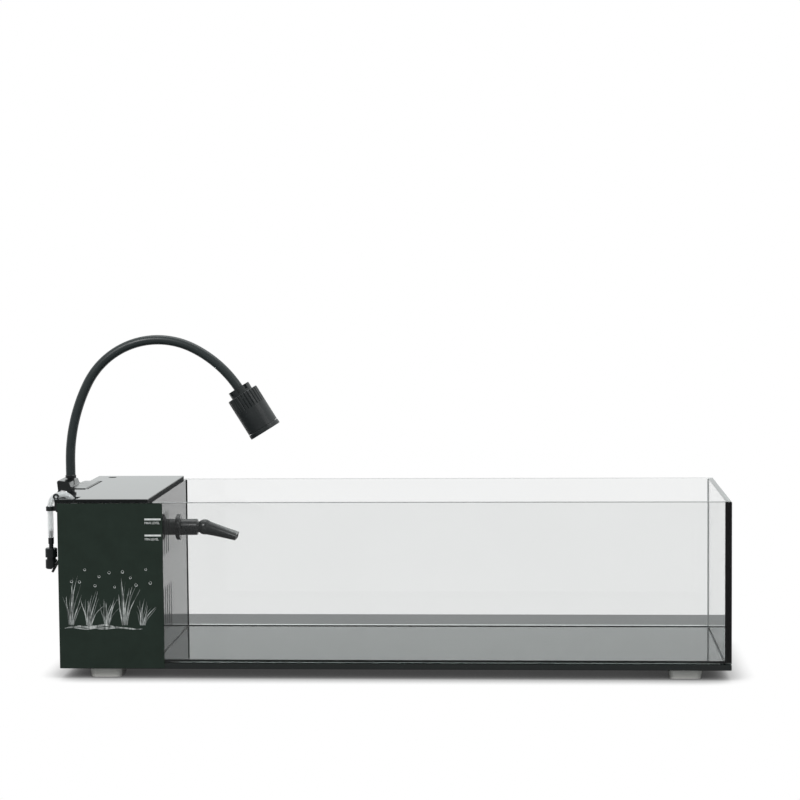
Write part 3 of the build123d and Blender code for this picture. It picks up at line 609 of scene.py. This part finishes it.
def print_of(name, strokes, material):
    """Printed strokes on the front film, each given by two edges, as equally long rows of (x, z) points.

    Each stroke lies a trace deeper than the one before, so that strokes may cross.
    """
    points = []
    faces = []
    for number, (lower, upper) in enumerate(strokes):
        face = INK_FACE + INK_LAYERS * number / len(strokes)
        start = len(points)
        count = len(lower)
        for a, b in zip(lower, upper):
            points.extend(((a[0], face, a[1]), (b[0], face, b[1])))
        for a, b in zip(lower, upper):
            points.extend(((a[0], INK_BACK, a[1]), (b[0], INK_BACK, b[1])))
        deep = start + 2 * count
        for i in range(count - 1):
            a = 2 * i
            faces.append((start + a, start + a + 2, start + a + 3, start + a + 1))
            faces.append((start + a + 2, start + a, deep + a, deep + a + 2))
            faces.append((start + a + 1, start + a + 3, deep + a + 3, deep + a + 1))
        last = 2 * (count - 1)
        faces.append((start, start + 1, deep + 1, deep))
        faces.append((start + last + 1, start + last, deep + last, deep + last + 1))
    piece = add_piece(name, mesh_of(name, points, faces), material)
    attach(piece, "tank")


# The level marks near the film's right edge, each a line with small words under it.
MARK_LEFT = LEFT + 0.0788
MARK_RIGHT = LEFT + 0.0936
MARK_THICKNESS = 0.0016
UPPER_MARK = BASE + 0.1350
LOWER_MARK = BASE + 0.1205
UPPER_LABEL = UPPER_MARK - 0.0042
LOWER_LABEL = LOWER_MARK - 0.0044
LABEL_SIZE = 0.0030
LABEL_SPACING = 0.9


def label(name, words, z):
    """A line of small printed capitals on the front film."""
    text = bpy.data.curves.new(name, "FONT")
    text.body = words
    text.size = LABEL_SIZE
    text.space_character = LABEL_SPACING
    text.extrude = (INK_BACK - INK_FACE) / 2
    holder = bpy.data.objects.new(name + "_text", text)
    bpy.context.scene.collection.objects.link(holder)
    mesh = bpy.data.meshes.new_from_object(holder)
    bpy.data.objects.remove(holder)
    mesh.materials.clear()
    middle = (INK_BACK + INK_FACE) / 2
    for vertex in mesh.vertices:
        along, up, out = vertex.co
        vertex.co = (MARK_LEFT + along, middle - out, z + up)
    mesh.name = name
    piece = add_piece(name, mesh, ink_white)
    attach(piece, "tank")


def make_level_marks():
    """The two lines and their words."""
    half = MARK_THICKNESS / 2
    lines = []
    for z in (UPPER_MARK, LOWER_MARK):
        lower = [(MARK_LEFT, z - half), (MARK_RIGHT, z - half)]
        upper = [(MARK_LEFT, z + half), (MARK_RIGHT, z + half)]
        lines.append((lower, upper))
    print_of("level_marks", lines, ink_white)
    label("upper_level_label", "MAX LEVEL", UPPER_LABEL)
    label("lower_level_label", "MIN LEVEL", LOWER_LABEL)


make_level_marks()


def leaf(root_x, root_z, height, lean, phase):
    """One leaf, as its left and right edges from the root to the tip."""
    steps = 18
    width = 0.0013
    sway = 0.0012
    left_edge = []
    right_edge = []
    for step in range(steps + 1):
        t = step / steps
        middle = root_x + lean * t**1.6 + sway * math.sin(4.6 * t + phase) * t
        half = width / 2 * (1 - t) ** 0.55 * min(1, 0.35 + 2.5 * t)
        z = root_z + height * t
        right_edge.append((middle + half, z))
        left_edge.append((middle - half, z))
    return left_edge, right_edge


def streak(x_low, x_high, z, phase):
    """One brush stroke of the bed, thickest in its middle."""
    steps = 24
    width = 0.0011
    swell = 0.0007
    upper = []
    lower = []
    for step in range(steps + 1):
        t = step / steps
        x = x_low + (x_high - x_low) * t
        height = z + swell * math.sin(2.2 * math.pi * t + phase)
        half = width / 2 * math.sin(math.pi * t) ** 0.6
        upper.append((x, height + half))
        lower.append((x, height - half))
    return lower, upper


def bubble(x, z, radius):
    """A thin ring, heavier on its lower side."""
    steps = 24
    outer = []
    inner = []
    for step in range(steps + 1):
        angle = 2 * math.pi * step / steps
        thick = radius * (0.22 - 0.12 * math.sin(angle))
        outer.append((x + radius * math.cos(angle), z + radius * math.sin(angle)))
        inner.append((x + (radius - thick) * math.cos(angle), z + (radius - thick) * math.sin(angle)))
    return outer, inner


# The printed picture: tufts of eelgrass leaning in a current, over a streaky bed, with bubbles.
PRINT_LOW = BASE + 0.036
PRINT_HIGH = BASE + 0.093

TUFTS = 5
FIRST_TUFT = LEFT + 0.011
TUFT_PITCH = 0.0162
TUFT_ROOT = PRINT_LOW + 0.0035
TUFT_HEIGHT = 0.036
TUFT_HEIGHT_DRIFT = 0.012
LEAVES_IN_TUFT = 9
ROOT_SPREAD = 0.0026
LEAF_LEAN = 0.0035
LEAF_FANNING = 0.0085

STREAKS = 9
STREAK_COLUMNS = 5
STREAK_LAYERS = 4
FIRST_STREAK = LEFT + 0.0045
STREAK_PITCH = 0.0088
STREAK_SHIFT = 0.003
STREAK_LENGTH = 0.030
STREAK_LENGTH_DRIFT = 0.012
STREAK_END = LEFT + 0.0915
STREAK_LOW = PRINT_LOW + 0.0006
STREAK_RISE = 0.0009

BUBBLES = 12
FIRST_BUBBLE = LEFT + 0.012
BUBBLE_PITCH = 0.0066
BUBBLE_DRIFT = 0.0014
BUBBLE_TOP = PRINT_HIGH - 0.003
BUBBLE_DEPTH = 0.016
BUBBLE_RADIUS = 0.0008
BUBBLE_GROWTH = 0.0008


def make_grass():
    """The tufts, tallest in the middle of each, with every other leaf brighter."""
    far_leaves = []
    near_leaves = []
    for tuft in range(TUFTS):
        middle = FIRST_TUFT + TUFT_PITCH * tuft
        tall = TUFT_HEIGHT + TUFT_HEIGHT_DRIFT * math.sin(2.4 * tuft + 0.9)
        for i in range(LEAVES_IN_TUFT):
            fan = (i - (LEAVES_IN_TUFT - 1) / 2) / (LEAVES_IN_TUFT / 2)
            height = tall * (1 - 0.4 * fan * fan) * (0.84 + 0.16 * math.sin(5.3 * i + tuft))
            lean = LEAF_LEAN + LEAF_FANNING * fan
            group = near_leaves if (i + tuft) % 2 else far_leaves
            group.append(leaf(middle + ROOT_SPREAD * fan, TUFT_ROOT, height, lean, 1.7 * i + tuft))
    print_of("film_print_far_leaves", far_leaves, ink_dim)
    print_of("film_print_near_leaves", near_leaves, ink_grey)


def make_bed():
    """The bed: short streaks side by side, at a few heights."""
    streaks = []
    for i in range(STREAKS):
        row, column = divmod(i, STREAK_COLUMNS)
        start = FIRST_STREAK + STREAK_PITCH * column + STREAK_SHIFT * row
        length = STREAK_LENGTH + STREAK_LENGTH_DRIFT * math.sin(1.7 * i)
        end = min(start + length, STREAK_END)
        height = STREAK_LOW + STREAK_RISE * (i % STREAK_LAYERS)
        streaks.append(streak(start, end, height, 1.3 * i))
    print_of("film_print_bed", streaks, ink_grey)


def make_bubbles():
    """The bubbles over the grass, of uneven sizes and heights."""
    bubbles = []
    for i in range(BUBBLES):
        x = FIRST_BUBBLE + BUBBLE_PITCH * i + BUBBLE_DRIFT * math.sin(2.7 * i)
        z = BUBBLE_TOP - BUBBLE_DEPTH * (0.5 + 0.5 * math.sin(2.3 * i + 0.4))
        radius = BUBBLE_RADIUS + BUBBLE_GROWTH * (0.5 + 0.5 * math.sin(3.1 * i))
        bubbles.append(bubble(x, z, radius))
    print_of("film_print_bubbles", bubbles, ink_white)


make_grass()
make_bed()
make_bubbles()


class Backdrop(Recipe):
    """The world's node tree, with the same short words."""

    def __init__(self, name):
        world = bpy.data.worlds.new(name)
        bpy.context.scene.world = world
        world.use_nodes = True
        self.tree = world.node_tree
        self.shader = self.tree.nodes["Background"]
        self.place = self.tree.nodes.new("ShaderNodeTexCoord").outputs["Generated"]


# How brightly the room lights the object, and how dim its front shows in glass and gloss. Its back
# shows white.
ROOM_LIGHT = 0.55
ROOM_FRONT = 0.30
ROOM_TONE = (0.967, 1.0, 0.995)
WHITE = (1, 1, 1)


def make_room():
    """The room around the object: an even light, and what glass and gloss show of the room."""
    made = Backdrop("studio")
    way = made.add("ShaderNodeSeparateXYZ")
    made.link(made.place, way.inputs[0])
    camera_ray, seen = made.rays()
    seen_room = made.spread(way.outputs["Y"], ROOM_FRONT, 1.0, from_low=-0.45, from_high=0.15)
    change = made.sums("MULTIPLY", seen, made.sums("SUBTRACT", seen_room, ROOM_LIGHT))
    level = made.sums("MAXIMUM", made.sums("ADD", ROOM_LIGHT, change), camera_ray)
    made.feed(made.mixed(camera_ray, ROOM_TONE, WHITE), "Color")
    made.feed(level, "Strength")


make_room()

# The floor. The table's top ends this far behind the tank, as seen through the glass and in gloss.
TABLE_END = BACK + 0.145
TABLE_TONES = ((0.3, (0.275, 0.285, 0.285)), (0.7, (0.305, 0.315, 0.315)))
FLOOR_REACH = 30.0
SHADOW_REACH = 0.036
SHADOW_DARKEST = 0.15
SHADOW_FALL = 1.8


def floor_material():
    """White to the camera but for the contact shadow, and a grey table top to glass, gloss and light."""
    made = Recipe("floor")
    place = made.add("ShaderNodeSeparateXYZ")
    made.link(made.place, place.inputs[0])
    grey = made.ramp(made.noise(3, 2), TABLE_TONES)
    beyond = made.sums("GREATER_THAN", place.outputs["Y"], TABLE_END)
    table = made.mixed(beyond, grey, WHITE)
    camera_ray, seen = made.rays()
    near = made.add("ShaderNodeAmbientOcclusion", samples=16)
    near.inputs["Distance"].default_value = SHADOW_REACH
    open_sky = made.spread(near.outputs["AO"], SHADOW_DARKEST, 1.0, from_low=0.02, from_high=0.86)
    glow = made.add("ShaderNodeEmission")
    made.link(made.mixed(camera_ray, table, WHITE), glow.inputs["Color"])
    made.link(made.sums("POWER", open_sky, SHADOW_FALL), glow.inputs["Strength"])
    made.feed(table, "Base Color")
    made.set(Roughness=0.9, Specular_IOR_Level=0.1)
    mix = made.add("ShaderNodeMixShader")
    made.link(made.sums("MAXIMUM", seen, camera_ray), mix.inputs[0])
    made.link(made.shader.outputs[0], mix.inputs[1])
    made.link(glow.outputs[0], mix.inputs[2])
    made.link(mix.outputs[0], made.output.inputs["Surface"])
    return made.material


def make_floor():
    """A flat floor that the object stands on."""
    reach = FLOOR_REACH
    corners = [(-reach, -reach, 0), (reach, -reach, 0), (reach, reach, 0), (-reach, reach, 0)]
    mesh = mesh_of("floor", corners, [(0, 1, 2, 3)])
    floor = bpy.data.objects.new("floor", mesh)
    bpy.context.scene.collection.objects.link(floor)
    mesh.materials.append(floor_material())


make_floor()


def soft_light(name, place, aim, size, power):
    """A broad lamp at a place, turned towards its aim, of a width and height, in watts."""
    data = bpy.data.lights.new(name, "AREA")
    data.shape = "RECTANGLE"
    data.size, data.size_y = size
    data.energy = power
    light = bpy.data.objects.new(name, data)
    light.location = place
    light.rotation_mode = "QUATERNION"
    light.rotation_quaternion = (Vector(aim) - Vector(place)).to_track_quat("-Z", "Y")
    bpy.context.scene.collection.objects.link(light)


# The lights: one at the camera's left, one at its right and one overhead.
MIDDLE = (0, 0, 0.1)
soft_light("key", place=(-0.86, -1.43, 1.35), aim=(-0.1, 0, 0.1), size=(0.6, 0.5), power=16)
soft_light("fill", place=(1.6, -1.2, 1.2), aim=MIDDLE, size=(1.2, 1.2), power=7)
soft_light("top", place=(0.1, 0.5, 2.2), aim=MIDDLE, size=(2.0, 1.2), power=16)

bpy.context.scene.view_settings.view_transform = "Standard"
